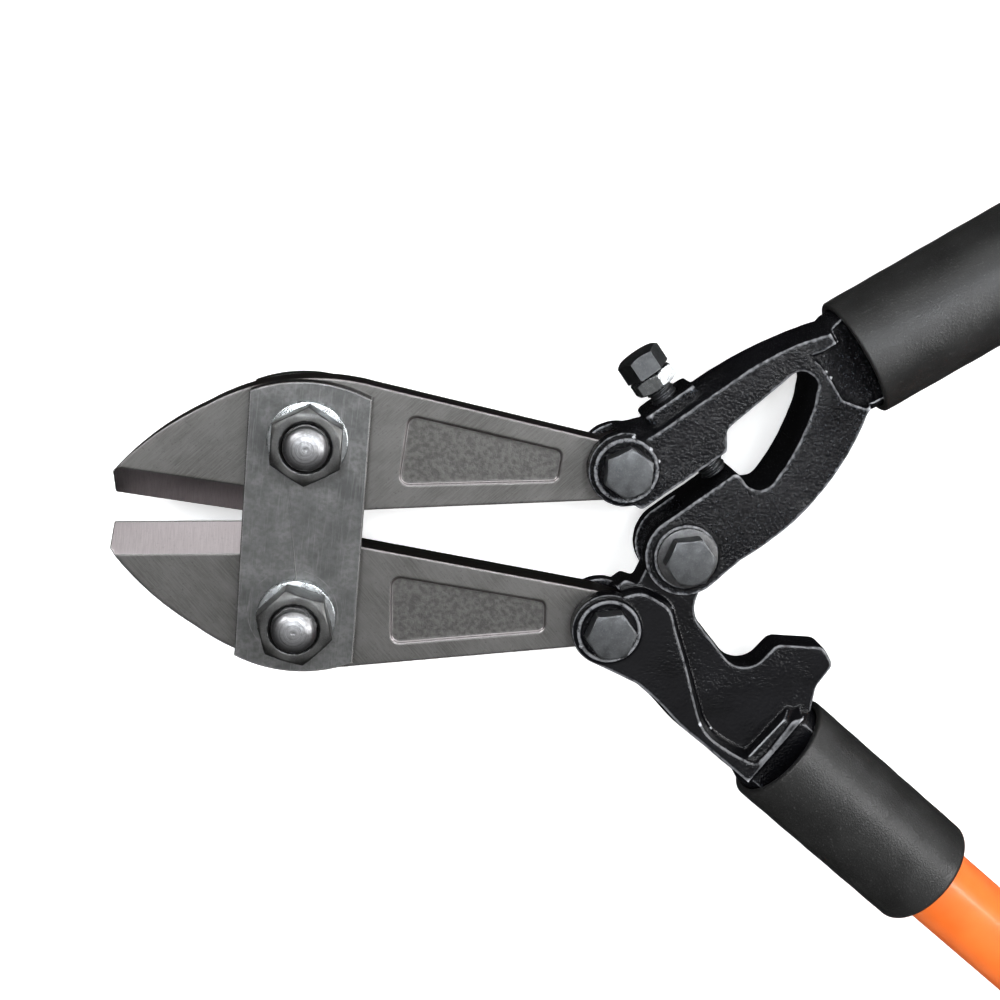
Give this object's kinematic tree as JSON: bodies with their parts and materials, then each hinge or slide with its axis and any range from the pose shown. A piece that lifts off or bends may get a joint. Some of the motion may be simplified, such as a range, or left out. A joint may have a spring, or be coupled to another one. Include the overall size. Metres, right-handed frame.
{
  "type": "bolt cutters",
  "caption": "Long-handled bolt cutters with two bevelled jaws between side plates, forged forked handles, an adjusting screw and rubber grips.",
  "frame": {"origin": "middle of the upper plate bolt's head, on the flat face that the tool rests on, 28 mm from the tool's centre line", "axes": "+X from the jaws to the handles along the centre line, +Y across towards the handle that carries the adjusting screw, +Z through the thickness towards the plate nuts"},
  "size_m": [0.6715, 0.7779, 0.055],
  "materials": {
    "jaw_steel": "dark satin, diagonal grinding marks",
    "plate_steel": "dark mottled satin, bright worn edges",
    "dark_steel": "matte grey, heat treated",
    "zinc": "bright zinc plate",
    "black_paint": "gloss black over a rough forging",
    "black_rubber": "fine grained, matte",
    "orange_paint": "semi gloss orange"
  },
  "bodies": {
    "side_plates": {"front_side_plate": "plate_steel", "rear_side_plate": "plate_steel", "upper_plate_bolt": "dark_steel", "upper_plate_washer": "zinc", "upper_plate_nut": "dark_steel", "lower_plate_bolt": "dark_steel", "lower_plate_washer": "zinc", "lower_plate_nut": "dark_steel"},
    "upper_jaw": {"upper_jaw": "jaw_steel"},
    "lower_jaw": {"lower_jaw": "jaw_steel"},
    "upper_handle": {"upper_handle_forging": "black_paint", "upper_handle_tube": "orange_paint", "upper_tube_pin": "dark_steel", "upper_sleeve": "black_rubber", "upper_grip": "black_rubber", "upper_jaw_tail_bolt": "dark_steel", "upper_jaw_tail_nut": "dark_steel", "centre_bolt": "dark_steel", "centre_nut": "dark_steel", "centre_washer": "dark_steel"},
    "lower_handle": {"lower_handle_forging": "black_paint", "lower_handle_tube": "orange_paint", "lower_tube_pin": "dark_steel", "lower_sleeve": "black_rubber", "lower_grip": "black_rubber", "lower_jaw_tail_bolt": "dark_steel", "lower_jaw_tail_nut": "dark_steel"},
    "adjusting_screw": {"adjusting_screw": "dark_steel"},
    "adjusting_lock_nut": {"adjusting_lock_nut": "zinc"}
  },
  "joints": [
    {"name": "upper_jaw_pivot", "type": "hinge", "parent": "side_plates", "child": "upper_jaw", "pos_m": [0, 0, 0.023], "axis": [0, 0, 1], "range_deg": [-1.6, 4.51]},
    {"name": "lower_jaw_pivot", "type": "hinge", "parent": "side_plates", "child": "lower_jaw", "pos_m": [0, -0.056, 0.023], "axis": [0, 0, 1], "range_deg": [-4.51, 1.6]},
    {"name": "upper_handle_pivot", "type": "hinge", "parent": "upper_jaw", "child": "upper_handle", "pos_m": [0.09848, -0.00199, 0.023], "axis": [0, 0, 1], "range_deg": [-34.5, 12]},
    {"name": "lower_handle_pivot", "type": "hinge", "parent": "lower_jaw", "child": "lower_handle", "pos_m": [0.09848, -0.05401, 0.023], "axis": [0, 0, 1], "range_deg": [-12, 34.5]},
    {"name": "adjusting_screw_travel", "type": "slide", "parent": "upper_handle", "child": "adjusting_screw", "axis": [-0.6388, 0.7694, 0], "range_m": [0, 0.004]},
    {"name": "lock_nut_travel", "type": "slide", "parent": "upper_handle", "child": "adjusting_lock_nut", "axis": [0.6388, -0.7694, 0], "range_m": [0, 0.0036]}
  ],
  "couplings": [
    {"joint": "upper_jaw_pivot", "follows": "upper_handle_pivot", "ratio": -0.13043},
    {"joint": "lower_jaw_pivot", "follows": "upper_handle_pivot", "ratio": 0.13043},
    {"joint": "lower_handle_pivot", "follows": "upper_handle_pivot", "ratio": -1}
  ]
}
